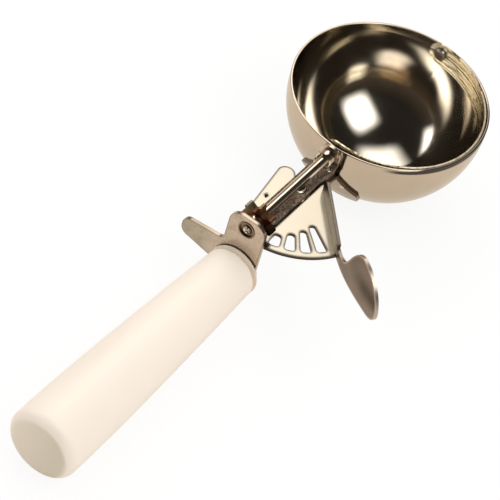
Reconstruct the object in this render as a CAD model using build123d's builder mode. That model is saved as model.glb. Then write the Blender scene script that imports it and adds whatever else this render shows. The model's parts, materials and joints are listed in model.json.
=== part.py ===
from build123d import *
from math import acos, atan2, cos, degrees, hypot, radians, sin, sqrt
import os

os.makedirs("parts", exist_ok=True)

# A lever ice cream scoop, in millimetres.
# +X runs from the butt of the handle to the bowl, +Z is the side that the bowl opens to and
# +Y is the finger-rest side. The origin is the centre of the handle's flat butt face.

# ---------------------------------------------------------------- handle
handle_length = 112.2
butt_radius = 13.9
butt_round = 3.8
butt_band = 10.0
middle_radius = 12.6
middle_station = 58.0
front_radius = 10.1
front_round = 2.0
tang_radius = 3.0
tang_depth = 86.0
tang_head_radius = 5.2
tang_head_height = 1.7
bore_bottom_gap = 1.5
tang_tip = 0.8

# ---------------------------------------------------------------- handle front
washer_radius = 10.2
washer_sheet = 0.5
spacer_radius = 7.2
spacer_length = 0.5
plate_sheet = 1.5
plate_cover_radius = 8.6
strap_skirt = 8.0
lug_half_width = 7.7
lug_above_rod = 5.3
lug_corner = 5.0
finger_reach = 24.8
finger_root_low = -4.0
finger_root_high = 10.9
finger_tip_low = 0.8
finger_tip_high = 7.9
finger_tip_round = 3.4
finger_notch_round = 2.3

# ---------------------------------------------------------------- rod, pinion and rack
rod_height = 21.0
rod_radius = 1.9
running = 0.05
pinion_teeth = 7
slot_pitch = 12.0
rack_radius = 26.5
pinion_face = 3.5
pinion_addendum = 0.95
pinion_root_radius = 4.3
tooth_root_width = 2.7
tooth_tip_width = 1.5
tooth_corner = 0.5
tooth_sink = 1.0
hub_radius = 3.5
hub_length = 3.35
end_float = 0.3
bush_radius = 3.4
bush_overhang = 0.3
bush_recess_radius = 3.0
bush_recess_depth = 0.8
rod_tail = 0.6
pin_radius = 0.7
pin_overhang = 0.3
rod_chamfer = 0.4

# ---------------------------------------------------------------- straps and pivot
pivot_gap = 20.0
strap_sheet = 1.8
strap_half_width = 5.5
strap_bend = 1.6
upper_sheet = 1.3
upper_half_width = 4.2
upper_bend = 0.7
upper_tail = 21.5
upper_tail_round = 3.0
lug_round = 3.9
washer_gap = 0.6
pivot_radius = 2.0
pivot_head_radius = 3.5
pivot_head_height = 1.3
pivot_washer_radius = 4.6
spring_cap_radius = 4.6
spring_cap_height = 1.0
head_round = 0.7

# ---------------------------------------------------------------- sector and thumb lever
sheet = 1.2
sector_radius = 31.5
sector_left_angle = 188.2
lobe_side = 10.7
lobe_ahead = 5.5
lobe_radius = 3.4
neck_round = 1.0
boss_radius = 6.0
boss_shoulder_angle = 20.0
nose_lead = 4.0
flange_offset = 11.1
flange_angle = 222.7
flange_height = 6.6
flange_lead = 2.0
flange_bevel_run = 1.6
flange_bevel_rise = 2.0
bar_width = 1.9
slot_outer = 29.0
slot_inner = 23.2
slot_step = 2.2
slot_min_width = 2.3
slot_count = 6
slots_behind = 1
slot_corner = 1.2
slot_roundness = 0.45
pad_length = 33.0
pad_angle = 238.0
pad_curl = 10.0
pad_depth = 12.0
# The pad's outline: along it from the flange's corner, and up from the rod's height.
pad_heel_top = (-2.0, -1.7)
pad_heel_foot = (-2.0, -5.4)
pad_sole_start = (4.7, -5.6)
pad_sole_end = (28.0, -4.6)
pad_tip_low = (32.5, -2.6)
pad_tip_high = (31.4, 4.4)
pad_shoulder = (26.4, 9.9)
pad_crown = (18.6, 12.6)
pad_brow = (12.2, 8.6)
pad_throat = (7.2, -0.4)
pad_neck = (2.5, -1.7)

# ---------------------------------------------------------------- return spring
wire_radius = 0.5
coil_radius = 3.6
coil_pitch = 1.2
coil_turns = 3
spring_gap = 0.3
hook_radius = 12.0
hook_angle = 145.0
anchor_reach = 15.0
wire_hole_play = 0.12
leg_bend = 1.1

# ---------------------------------------------------------------- bowl, saddle and blade
bowl_radius = 38.0
bowl_wall = 0.9
rim_height = 3.4
rim_round = 0.3
lug_top_radius = 3.7
near_bush_radius = 2.5
near_flange_radius = 2.9
near_flange_sheet = 0.8
saddle_sheet = 1.2
saddle_seat = 0.02
saddle_half_width = 12.6
saddle_shoulder = 18.5
saddle_foot = 31.0
saddle_cheek = 9.7
saddle_cheek_drop = 27.8
saddle_neck = 5.0
saddle_neck_drop = 0.4
tab_sheet = 1.2
tab_length = 9.5
tab_bite = 1.0
rivet_radius = 0.9
rivet_head_radius = 1.5
rivet_head_height = 0.5
rivet_spread = 2.5
rivet_margin = 3.0
collar_radius = 3.1
collar_length = 3.2
blade_gap = 0.3
blade_sheet = 0.7
blade_width = 9.4
blade_rest_drop = 3.0
eye_play = 0.1
stud_radius = 1.5
stud_head_radius = 2.6
stud_head_height = 1.0
spigot_radius = 1.3
spigot_head_radius = 2.2
spigot_head_height = 0.8
cut_margin = 1.0

# ---------------------------------------------------------------- stations that follow
washer_x = handle_length
spacer_x = washer_x + washer_sheet
plate_x = spacer_x + spacer_length
strap_x = plate_x + plate_sheet
strap_front_face = strap_x + strap_sheet
hub_rear = plate_x + plate_sheet + bush_overhang + end_float
pinion_x = hub_rear + hub_length
rack_x = pinion_x + pinion_face / 2
pivot_x = rack_x + rack_radius
wall_face = pivot_x + pivot_gap
bowl_x = wall_face + bowl_radius
far_face = bowl_x + bowl_radius
turn_ratio = 360 / (pinion_teeth * slot_pitch)
pinion_pitch_radius = rack_radius / turn_ratio
pinion_tip_radius = pinion_pitch_radius + pinion_addendum

sector_bottom = rod_height - pinion_pitch_radius - sheet / 2
sector_top = sector_bottom + sheet
upper_bottom = sector_top + washer_gap
upper_top = upper_bottom + upper_sheet
strap_top = sector_bottom - washer_gap
strap_bottom = strap_top - strap_sheet
tab_bottom = strap_bottom - tab_sheet
pivot_washer_sheet = washer_gap - running

lug_face = wall_face - saddle_seat
upper_rear = pivot_x - upper_tail
strap_end = lug_face - upper_sheet
lobe_reach = hypot(lobe_ahead, lobe_side - lobe_radius)
packer_x = pivot_x + lobe_reach + lobe_radius + end_float
packer_length = strap_end - packer_x
rivet_x = strap_end - rivet_margin
blade_outer = bowl_radius - bowl_wall - blade_gap
blade_inner = blade_outer - blade_sheet
coil_top = strap_bottom - spring_gap - wire_radius


def save(part, name):
    """Label a finished piece and write its STEP file."""
    part.label = name
    export_step(part, "parts/" + name + ".step")


def polar(angle, radius):
    """A point about the pivot, by its angle from +X and its distance."""
    return (pivot_x + radius * cos(radians(angle)), radius * sin(radians(angle)))


# ================================================================ handle
with BuildPart() as handle_grip:
    with BuildSketch(Plane.XZ):
        with BuildLine():
            butt = Line((0, 0), (0, butt_radius - butt_round))
            edge = JernArc(butt @ 1, (0, 1), butt_round, -90)
            band = Line(edge @ 1, (butt_band, butt_radius))
            swell = Spline(
                (butt_band, butt_radius),
                (middle_station, middle_radius),
                (handle_length - front_round, front_radius),
                tangents=[(1, -0.01), (1, -0.055)],
            )
            nose = Line(swell @ 1, (handle_length, front_radius - front_round))
            Line(nose @ 1, (handle_length, 0))
            Line((handle_length, 0), (0, 0))
        make_face()
    revolve(axis=Axis.X)
    with BuildSketch(Plane.YZ.offset(handle_length)):
        Circle(tang_radius)
    extrude(amount=-tang_depth - bore_bottom_gap, mode=Mode.SUBTRACT)
save(handle_grip.part, "handle_grip")

with BuildPart() as handle_washer:
    with BuildSketch(Plane.YZ.offset(washer_x)):
        Circle(washer_radius)
        Circle(tang_radius, mode=Mode.SUBTRACT)
    extrude(amount=washer_sheet)
save(handle_washer.part, "handle_washer")

with BuildPart() as handle_spacer:
    with BuildSketch(Plane.YZ.offset(spacer_x)):
        Circle(spacer_radius)
        Circle(tang_radius, mode=Mode.SUBTRACT)
    extrude(amount=spacer_length)
save(handle_spacer.part, "handle_spacer")

with BuildPart() as handle_tang:
    with BuildSketch(Plane.YZ.offset(handle_length - tang_depth)):
        Circle(tang_radius)
    extrude(amount=tang_depth + strap_front_face - handle_length)
    chamfer(handle_tang.faces().sort_by(Axis.X)[0].edges(), tang_tip)
    with BuildSketch(Plane.YZ.offset(strap_front_face)):
        Circle(tang_head_radius)
    extrude(amount=tang_head_height)
    fillet(handle_tang.faces().sort_by(Axis.X)[-1].edges(), tang_head_height * head_round)
save(handle_tang.part, "handle_tang")

# ================================================================ bearing plate with finger rest
with BuildPart() as bearing_plate:
    with BuildSketch(Plane.YZ.offset(plate_x)) as plate_outline:
        with Locations((0, (rod_height + lug_above_rod) / 2)):
            Rectangle(2 * lug_half_width, rod_height + lug_above_rod)
        fillet(plate_outline.vertices().group_by(Axis.Y)[-1], lug_corner)
        Circle(plate_cover_radius)
        Polygon(
            (0, finger_root_low),
            (finger_reach, finger_tip_low),
            (finger_reach, finger_tip_high),
            (0, finger_root_high),
            align=None,
        )
        fillet(plate_outline.vertices().group_by(Axis.X)[-1], finger_tip_round)
        notch = (lug_half_width, finger_root_high, 0)
        fillet(plate_outline.vertices().sort_by_distance(notch)[0], finger_notch_round)
    extrude(amount=plate_sheet)
    with BuildSketch(Plane.YZ.offset(plate_x)):
        Circle(tang_radius)
        with Locations((0, rod_height)):
            Circle(bush_radius)
    extrude(amount=plate_sheet, mode=Mode.SUBTRACT)
save(bearing_plate.part, "bearing_plate")

# The bush's bore is sunk at the back, so the end of the rod sits in a ring-shaped recess.
bush_length = plate_sheet + 2 * bush_overhang
with BuildPart() as rear_bush:
    with BuildSketch(Plane.YZ.offset(plate_x - bush_overhang)):
        with Locations((0, rod_height)):
            Circle(bush_radius)
    extrude(amount=bush_length)
    with BuildSketch(Plane.YZ.offset(plate_x - bush_overhang)):
        with Locations((0, rod_height)):
            Circle(bush_recess_radius)
    extrude(amount=bush_recess_depth, mode=Mode.SUBTRACT)
    with BuildSketch(Plane.YZ.offset(plate_x - bush_overhang)):
        with Locations((0, rod_height)):
            Circle(rod_radius + running)
    extrude(amount=bush_length, mode=Mode.SUBTRACT)
save(rear_bush.part, "rear_bush")

# ================================================================ lower strap, under the sector
with BuildPart() as shank_strap:
    with BuildSketch(Plane.XZ.offset(-strap_half_width)) as strap_profile:
        with BuildLine():
            Polyline(
                (strap_x, -strap_skirt),
                (strap_x, strap_top),
                (strap_end, strap_top),
                (strap_end, strap_bottom),
                (strap_front_face, strap_bottom),
                (strap_front_face, -strap_skirt),
                close=True,
            )
        make_face()
        outer_corner = strap_profile.vertices().sort_by_distance((strap_x, strap_top, 0))[0]
        fillet(outer_corner, strap_bend + strap_sheet)
        inner_corner = strap_profile.vertices().sort_by_distance(
            (strap_front_face, strap_bottom, 0))[0]
        fillet(inner_corner, strap_bend)
    extrude(amount=2 * strap_half_width)
    with BuildSketch(Plane.YZ.offset(strap_x)):
        Circle(tang_radius)
    extrude(amount=strap_sheet, mode=Mode.SUBTRACT)
    with BuildSketch(Plane.XY.offset(strap_top)):
        with Locations((pivot_x, 0)):
            Circle(pivot_radius)
        with Locations((pivot_x - anchor_reach, 0)):
            Circle(wire_radius + wire_hole_play)
        with Locations((rivet_x, rivet_spread), (rivet_x, -rivet_spread)):
            Circle(rivet_radius)
    extrude(amount=-strap_sheet, mode=Mode.SUBTRACT)
save(shank_strap.part, "shank_strap")

# ================================================================ upper strap with the front lug
with BuildPart() as upper_strap:
    with BuildSketch(Plane.XZ.offset(-upper_half_width)) as upper_profile:
        with BuildLine():
            Polyline(
                (upper_rear, upper_bottom),
                (lug_face, upper_bottom),
                (lug_face, rod_height + lug_top_radius),
                (lug_face - upper_sheet, rod_height + lug_top_radius),
                (lug_face - upper_sheet, upper_top),
                (upper_rear, upper_top),
                close=True,
            )
        make_face()
        outer_corner = upper_profile.vertices().sort_by_distance((lug_face, upper_bottom, 0))[0]
        fillet(outer_corner, upper_bend + upper_sheet)
        inner_corner = upper_profile.vertices().sort_by_distance(
            (lug_face - upper_sheet, upper_top, 0))[0]
        fillet(inner_corner, upper_bend)
    extrude(amount=2 * upper_half_width)
    with BuildSketch(Plane.YZ.offset(lug_face)):
        with Locations((0, rod_height)):
            Circle(near_bush_radius)
    extrude(amount=-upper_sheet, mode=Mode.SUBTRACT)
    with BuildSketch(Plane.XY.offset(upper_top)):
        with Locations((pivot_x, 0)):
            Circle(pivot_radius)
        with Locations((rivet_x, rivet_spread), (rivet_x, -rivet_spread)):
            Circle(rivet_radius)
    extrude(amount=-upper_sheet, mode=Mode.SUBTRACT)
    fillet(upper_strap.edges().filter_by(Axis.X).group_by(Axis.Z)[-1], lug_round)
    fillet(upper_strap.edges().filter_by(Axis.Z).group_by(Axis.X)[0], upper_tail_round)
save(upper_strap.part, "upper_strap")

# The packer keeps the two straps apart, just ahead of the sector's nose.
with BuildPart() as strap_packer:
    with BuildSketch(Plane.XY.offset(strap_top)):
        with Locations((packer_x, 0)):
            Rectangle(packer_length, 2 * upper_half_width, align=(Align.MIN, Align.CENTER))
        with Locations((rivet_x, rivet_spread), (rivet_x, -rivet_spread)):
            Circle(rivet_radius, mode=Mode.SUBTRACT)
    extrude(amount=upper_bottom - strap_top)
save(strap_packer.part, "strap_packer")

with BuildPart() as strap_rivets:
    with BuildSketch(Plane.XY.offset(tab_bottom)):
        with Locations((rivet_x, rivet_spread), (rivet_x, -rivet_spread)):
            Circle(rivet_radius)
    extrude(amount=upper_top - tab_bottom)
    with BuildSketch(Plane.XY.offset(upper_top)):
        with Locations((rivet_x, rivet_spread), (rivet_x, -rivet_spread)):
            Circle(rivet_head_radius)
    extrude(amount=rivet_head_height)
    with BuildSketch(Plane.XY.offset(tab_bottom)):
        with Locations((rivet_x, rivet_spread), (rivet_x, -rivet_spread)):
            Circle(rivet_head_radius)
    extrude(amount=-rivet_head_height)
    fillet(strap_rivets.faces().filter_by(Axis.Z).group_by(Axis.Z)[-1].edges(),
           rivet_head_height * head_round)
    fillet(strap_rivets.faces().filter_by(Axis.Z).group_by(Axis.Z)[0].edges(),
           rivet_head_height * head_round)
save(strap_rivets.part, "strap_rivets")

# ================================================================ pivot
pivot_foot = coil_top - coil_pitch * (coil_turns + 1) - wire_radius
with BuildPart() as pivot_rivet:
    with BuildSketch(Plane.XY.offset(pivot_foot)):
        with Locations((pivot_x, 0)):
            Circle(pivot_radius)
    extrude(amount=upper_top - pivot_foot)
    with BuildSketch(Plane.XY.offset(upper_top)):
        with Locations((pivot_x, 0)):
            Circle(pivot_head_radius)
    extrude(amount=pivot_head_height)
    with BuildSketch(Plane.XY.offset(pivot_foot)):
        with Locations((pivot_x, 0)):
            Circle(spring_cap_radius)
    extrude(amount=-spring_cap_height)
    fillet(pivot_rivet.faces().sort_by(Axis.Z)[-1].edges(), pivot_head_height * head_round)
    fillet(pivot_rivet.faces().sort_by(Axis.Z)[0].edges(), spring_cap_height * head_round)
save(pivot_rivet.part, "pivot_rivet")

with BuildPart() as pivot_washers:
    with BuildSketch(Plane.XY.offset(sector_top + running), Plane.XY.offset(strap_top)):
        with Locations((pivot_x, 0)):
            Circle(pivot_washer_radius)
            Circle(pivot_radius, mode=Mode.SUBTRACT)
    extrude(amount=pivot_washer_sheet)
save(pivot_washers.part, "pivot_washers")

# ================================================================ slotted sector and thumb lever
side_angle = sector_left_angle - 90
left_end_angle = side_angle + degrees(acos(lobe_side / sector_radius))
foot_angle = flange_angle + 90
corner_angle = foot_angle - degrees(acos(flange_offset / sector_radius))
corner_reach = sqrt(sector_radius ** 2 - flange_offset ** 2)
lobe_angle = side_angle - degrees(atan2(lobe_ahead, lobe_side - lobe_radius))
lobe_centre = polar(lobe_angle, lobe_reach)
lobe_edge = (lobe_centre[0] + lobe_radius * cos(radians(side_angle)),
             lobe_centre[1] + lobe_radius * sin(radians(side_angle)))
boss_shoulder = polar(boss_shoulder_angle, boss_radius)
nose_corner = polar(foot_angle + degrees(atan2(nose_lead, flange_offset)),
                    hypot(nose_lead, flange_offset))
flange_foot = polar(foot_angle, flange_offset)
flange_along = (cos(radians(flange_angle)), sin(radians(flange_angle)), 0)
flange_inward = (-cos(radians(foot_angle)), -sin(radians(foot_angle)), 0)
flange_plane = Plane(
    origin=(flange_foot[0], flange_foot[1], sector_bottom),
    x_dir=flange_along,
    z_dir=flange_inward,
)

# The pad is a leaf cut from a large spherical shell, hollow on the side that the thumb presses.
pad_corner = polar(corner_angle, sector_radius)
pad_turn = radians(pad_curl)
pad_shell_radius = pad_length / 2 / sin(pad_turn)
pad_along = Vector(cos(radians(pad_angle)), sin(radians(pad_angle)), 0)
pad_outward = Vector(sin(radians(pad_angle - 180)), -cos(radians(pad_angle - 180)), 0)
pad_middle = Vector(pad_corner[0], pad_corner[1], rod_height) + pad_along * (pad_length / 2)
pad_shell_centre = pad_middle + pad_outward * (pad_shell_radius * cos(pad_turn))
pad_plane = Plane(
    origin=(pad_corner[0], pad_corner[1], rod_height),
    x_dir=pad_along,
    z_dir=pad_outward * -1,
)

with BuildPart() as pad_shell:
    with Locations(pad_shell_centre):
        Sphere(pad_shell_radius + sheet)
        Sphere(pad_shell_radius, mode=Mode.SUBTRACT)
    with BuildSketch(pad_plane):
        with BuildLine():
            Polyline(pad_neck, pad_heel_top, pad_heel_foot)
            tip = Spline(pad_sole_end, pad_tip_low, pad_tip_high, pad_shoulder, pad_crown)
            Spline(pad_heel_foot, pad_sole_start, pad_sole_end,
                   tangents=[(1, -0.05), tip % 0])
            Spline(pad_crown, pad_brow, pad_throat, pad_neck,
                   tangents=[tip % 1, (-1, -0.1)])
        make_face()
    extrude(amount=pad_depth, both=True, mode=Mode.INTERSECT)

with BuildPart() as thumb_lever:
    with BuildSketch(Plane.XY.offset(sector_bottom)) as sector_outline:
        with BuildLine():
            rear = CenterArc((pivot_x, 0), sector_radius, left_end_angle,
                             corner_angle - left_end_angle)
            Polyline(rear @ 1, nose_corner, boss_shoulder, lobe_centre, lobe_edge, rear @ 0)
        make_face()
        with Locations((pivot_x, 0)):
            Circle(boss_radius)
        with Locations(lobe_centre):
            Circle(lobe_radius)
        neck = (lobe_centre[0], lobe_centre[1] - lobe_radius, 0)
        fillet(sector_outline.vertices().sort_by_distance(neck)[0], neck_round)
        with Locations((pivot_x, 0)):
            Circle(pivot_radius + running, mode=Mode.SUBTRACT)
        with Locations(polar(hook_angle, hook_radius)):
            Circle(wire_radius + wire_hole_play, mode=Mode.SUBTRACT)
    extrude(amount=sheet)
    for number in range(slot_count):
        lengthened = max(0, number - slots_behind - 1)
        inner = slot_inner - slot_step * lengthened
        inner_width = max(slot_min_width, inner * radians(slot_pitch) - bar_width)
        outer_width = slot_outer * radians(slot_pitch) - bar_width
        angle = 180 + slot_pitch * (number - slots_behind + 0.5)
        slot_plane = Plane(origin=(pivot_x, 0, sector_bottom),
                           x_dir=(cos(radians(angle)), sin(radians(angle)), 0))
        with BuildSketch(slot_plane) as slot:
            Polygon(
                (inner, -inner_width / 2),
                (slot_outer, -outer_width / 2),
                (slot_outer, outer_width / 2),
                (inner, inner_width / 2),
                align=None,
            )
            fillet(slot.vertices().group_by(Axis.X)[0], inner_width * slot_roundness)
            fillet(slot.vertices().group_by(Axis.X)[-1], slot_corner)
        extrude(amount=sheet, mode=Mode.SUBTRACT)
    with BuildSketch(flange_plane):
        Polygon(
            (-flange_lead, 0),
            (corner_reach, 0),
            (corner_reach, flange_height),
            (flange_bevel_run - flange_lead, flange_height),
            (-flange_lead, flange_height - flange_bevel_rise),
            align=None,
        )
    extrude(amount=sheet)
    add(pad_shell.part)
save(thumb_lever.part, "thumb_lever")

# ================================================================ return spring
top_angle = hook_angle + degrees(acos(coil_radius / hook_radius))
start_angle = 180 - degrees(acos(coil_radius / anchor_reach))
coil_sweep = coil_turns + ((start_angle - top_angle) % 360) / 360
coil_height = coil_sweep * coil_pitch
coil_bottom = coil_top - coil_height
coil_plane = Plane(origin=(pivot_x, 0, coil_bottom),
                   x_dir=(cos(radians(start_angle)), sin(radians(start_angle)), 0))
hook_point = polar(hook_angle, hook_radius)
anchor_point = (pivot_x - anchor_reach, 0)
top_point = polar(top_angle, coil_radius)
start_point = polar(start_angle, coil_radius)


def bent_wire(*points):
    """A leg of spring wire along points, with tight rounded corners."""
    with BuildPart() as leg:
        with BuildLine() as path:
            FilletPolyline(*points, radius=leg_bend)
        with BuildSketch(Plane(origin=path.line @ 0, z_dir=path.line % 0)):
            Circle(wire_radius)
        sweep()
    return leg.part


anchor_leg = bent_wire(
    (start_point[0], start_point[1], coil_bottom),
    (anchor_point[0], anchor_point[1], coil_bottom),
    (anchor_point[0], anchor_point[1], strap_top - spring_gap),
)
hook_leg = bent_wire(
    (top_point[0], top_point[1], coil_top),
    (hook_point[0], hook_point[1], coil_top),
    (hook_point[0], hook_point[1], sector_top + 2 * wire_radius),
)

with BuildPart() as return_spring:
    with BuildLine(coil_plane) as coil_path:
        Helix(coil_pitch, coil_height, coil_radius, lefthand=True)
    with BuildSketch(Plane(origin=coil_path.line @ 0, z_dir=coil_path.line % 0)):
        Circle(wire_radius)
    sweep()
    with Locations((start_point[0], start_point[1], coil_bottom),
                   (top_point[0], top_point[1], coil_top)):
        Sphere(wire_radius)
    add(anchor_leg)
    add(hook_leg)
save(return_spring.part, "return_spring")

# ================================================================ bowl
with BuildPart() as bowl:
    with BuildSketch(Plane.XZ):
        with BuildLine():
            outer = CenterArc((bowl_x, rod_height), bowl_radius, -90, 90)
            Line(outer @ 1, (bowl_x + bowl_radius, rod_height + rim_height))
            Line((bowl_x + bowl_radius, rod_height + rim_height),
                 (bowl_x + bowl_radius - bowl_wall, rod_height + rim_height))
            Line((bowl_x + bowl_radius - bowl_wall, rod_height + rim_height),
                 (bowl_x + bowl_radius - bowl_wall, rod_height))
            inner = CenterArc((bowl_x, rod_height), bowl_radius - bowl_wall, 0, -90)
            Line(inner @ 1, outer @ 0)
        make_face()
    revolve(axis=Axis((bowl_x, 0, 0), (0, 0, 1)))
    fillet(bowl.edges().filter_by(GeomType.CIRCLE).group_by(Axis.Z)[-1], rim_round)
    with BuildSketch(Plane.YZ.offset(wall_face - cut_margin)):
        with Locations((0, rod_height)):
            Circle(near_bush_radius)
    extrude(amount=bowl_wall + 2 * cut_margin, mode=Mode.SUBTRACT)
    with BuildSketch(Plane.YZ.offset(far_face + cut_margin)):
        with Locations((0, rod_height)):
            Circle(stud_radius)
    extrude(amount=-bowl_wall - 2 * cut_margin, mode=Mode.SUBTRACT)
save(bowl.part, "bowl")

# The saddle is a shield-shaped piece of a spherical shell under the bowl, with a flat tab
# that the straps are riveted to.
shoulder_height = rod_height - saddle_shoulder
cheek_height = rod_height - saddle_cheek_drop
foot_height = rod_height - saddle_foot
with BuildPart() as bowl_saddle:
    with Locations((bowl_x, 0, rod_height)):
        Sphere(bowl_radius + saddle_seat + saddle_sheet)
        Sphere(bowl_radius + saddle_seat, mode=Mode.SUBTRACT)
    with BuildSketch(Plane.YZ.offset(bowl_x)) as shield:
        with BuildLine():
            Polyline((saddle_neck, strap_bottom), (saddle_neck, tab_bottom - saddle_neck_drop),
                     (saddle_half_width, shoulder_height))
            ThreePointArc((saddle_half_width, shoulder_height), (saddle_cheek, cheek_height),
                          (0, foot_height))
            ThreePointArc((0, foot_height), (-saddle_cheek, cheek_height),
                          (-saddle_half_width, shoulder_height))
            Polyline((-saddle_half_width, shoulder_height),
                     (-saddle_neck, tab_bottom - saddle_neck_drop),
                     (-saddle_neck, strap_bottom), (saddle_neck, strap_bottom))
        make_face()
    extrude(amount=-bowl_radius - saddle_sheet - cut_margin, mode=Mode.INTERSECT)
    with BuildSketch(Plane.XY.offset(tab_bottom)):
        with Locations((wall_face + tab_bite, 0)):
            Rectangle(tab_length, 2 * saddle_neck, align=(Align.MAX, Align.CENTER))
        with Locations((rivet_x, rivet_spread), (rivet_x, -rivet_spread)):
            Circle(rivet_radius, mode=Mode.SUBTRACT)
    extrude(amount=tab_sheet)
save(bowl_saddle.part, "bowl_saddle")

# ================================================================ bearings at the bowl
with BuildPart() as near_bush:
    with BuildSketch(Plane.YZ.offset(lug_face - upper_sheet - near_flange_sheet)):
        with Locations((0, rod_height)):
            Circle(near_flange_radius)
    extrude(amount=near_flange_sheet)
    with BuildSketch(Plane.YZ.offset(lug_face - upper_sheet)):
        with Locations((0, rod_height)):
            Circle(near_bush_radius)
    extrude(amount=upper_sheet + saddle_seat + bowl_wall)
    with BuildSketch(Plane.YZ.offset(lug_face - upper_sheet - near_flange_sheet)):
        with Locations((0, rod_height)):
            Circle(rod_radius + running)
    extrude(amount=near_flange_sheet + upper_sheet + bowl_wall + cut_margin, mode=Mode.SUBTRACT)
save(near_bush.part, "near_bush")

with BuildPart() as far_pivot_stud:
    with BuildSketch(Plane.YZ.offset(bowl_x + blade_inner - end_float)):
        with Locations((0, rod_height)):
            Circle(stud_radius)
    extrude(amount=bowl_radius - blade_inner + end_float)
    with BuildSketch(Plane.YZ.offset(far_face)):
        with Locations((0, rod_height)):
            Circle(stud_head_radius)
    extrude(amount=stud_head_height)
    with BuildSketch(Plane.YZ.offset(bowl_x + blade_inner - end_float)):
        with Locations((0, rod_height)):
            Circle(stud_head_radius)
    extrude(amount=-stud_head_height)
    fillet(far_pivot_stud.faces().sort_by(Axis.X)[-1].edges(), stud_head_height * head_round)
    fillet(far_pivot_stud.faces().sort_by(Axis.X)[0].edges(), stud_head_height * head_round)
save(far_pivot_stud.part, "far_pivot_stud")

# ================================================================ scraper rod and what it carries
hub_pin_x = hub_rear + hub_length / 2
collar_front = lug_face - upper_sheet - near_flange_sheet - end_float
collar_pin_x = collar_front - collar_length / 2
blade_seat = bowl_x - blade_outer
spigot_head_x = bowl_x - sqrt(blade_inner ** 2 - spigot_head_radius ** 2)
rod_rear = plate_x - bush_overhang + bush_recess_depth - rod_tail
with BuildPart() as scraper_rod:
    with BuildSketch(Plane.YZ.offset(rod_rear)):
        with Locations((0, rod_height)):
            Circle(rod_radius)
    extrude(amount=blade_seat - rod_rear)
    chamfer(scraper_rod.faces().sort_by(Axis.X)[0].edges(), rod_chamfer)
    with BuildSketch(Plane.YZ.offset(blade_seat)):
        with Locations((0, rod_height)):
            Circle(spigot_radius)
    extrude(amount=spigot_head_x - blade_seat)
    with BuildSketch(Plane.YZ.offset(spigot_head_x)):
        with Locations((0, rod_height)):
            Circle(spigot_head_radius)
    extrude(amount=spigot_head_height)
    fillet(scraper_rod.faces().sort_by(Axis.X)[-1].edges(), spigot_head_height * head_round)
    with BuildSketch(Plane.XY.offset(rod_height)):
        with Locations((hub_pin_x, 0), (collar_pin_x, 0)):
            Circle(pin_radius)
    extrude(amount=rod_radius + cut_margin, both=True, mode=Mode.SUBTRACT)
save(scraper_rod.part, "scraper_rod")

# At rest a gap between two teeth faces down, over a bar of the sector.
tooth_foot = pinion_root_radius - tooth_sink
tooth_shoulder = pinion_tip_radius - tooth_corner
with BuildPart() as pinion:
    with BuildSketch(Plane.YZ.offset(pinion_x)):
        with Locations((0, rod_height)):
            Circle(pinion_root_radius)
            with PolarLocations(0, pinion_teeth, start_angle=180 / pinion_teeth - 90):
                Polygon(
                    (tooth_foot, -tooth_root_width / 2),
                    (tooth_shoulder, -tooth_tip_width / 2),
                    (pinion_tip_radius, -tooth_tip_width / 2 + tooth_corner),
                    (pinion_tip_radius, tooth_tip_width / 2 - tooth_corner),
                    (tooth_shoulder, tooth_tip_width / 2),
                    (tooth_foot, tooth_root_width / 2),
                    align=None,
                )
            Circle(rod_radius, mode=Mode.SUBTRACT)
    extrude(amount=pinion_face)
    with BuildSketch(Plane.YZ.offset(hub_rear)):
        with Locations((0, rod_height)):
            Circle(hub_radius)
            Circle(rod_radius, mode=Mode.SUBTRACT)
    extrude(amount=hub_length)
    with BuildSketch(Plane.XY.offset(rod_height)):
        with Locations((hub_pin_x, 0)):
            Circle(pin_radius)
    extrude(amount=hub_radius + cut_margin, both=True, mode=Mode.SUBTRACT)
save(pinion.part, "pinion")

with BuildPart() as pinion_pin:
    with BuildSketch(Plane.XY.offset(rod_height)):
        with Locations((hub_pin_x, 0)):
            Circle(pin_radius)
    extrude(amount=hub_radius + pin_overhang, both=True)
save(pinion_pin.part, "pinion_pin")

with BuildPart() as rod_collar:
    with BuildSketch(Plane.YZ.offset(collar_front - collar_length)):
        with Locations((0, rod_height)):
            Circle(collar_radius)
            Circle(rod_radius, mode=Mode.SUBTRACT)
    extrude(amount=collar_length)
    chamfer(rod_collar.edges().filter_by(GeomType.CIRCLE).group_by(
        SortBy.RADIUS)[-1], rod_chamfer)
    with BuildSketch(Plane.XY.offset(rod_height)):
        with Locations((collar_pin_x, 0)):
            Circle(pin_radius)
    extrude(amount=collar_radius + cut_margin, both=True, mode=Mode.SUBTRACT)
save(rod_collar.part, "rod_collar")

with BuildPart() as collar_pin:
    with BuildSketch(Plane.XY.offset(rod_height)):
        with Locations((collar_pin_x, 0)):
            Circle(pin_radius)
    extrude(amount=collar_radius, both=True)
save(collar_pin.part, "collar_pin")

# ================================================================ scraper blade
# Half a spherical hoop: a shell between two spheres, cut to a band of even width about the
# plane through the rod's axis, with round eyes where it meets the rod and the far stud.
blade_plane = Plane(
    origin=(bowl_x, 0, rod_height),
    x_dir=(1, 0, 0),
    z_dir=(0, -cos(radians(blade_rest_drop)), -sin(radians(blade_rest_drop))),
)
with BuildPart() as blade_band:
    with BuildSketch(blade_plane):
        Rectangle(2 * bowl_radius, blade_width)
    extrude(amount=bowl_radius)
    with BuildSketch(Plane.YZ.offset(bowl_x)):
        with Locations((0, rod_height)):
            Circle(blade_width / 2)
    extrude(amount=bowl_radius, both=True)

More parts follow.
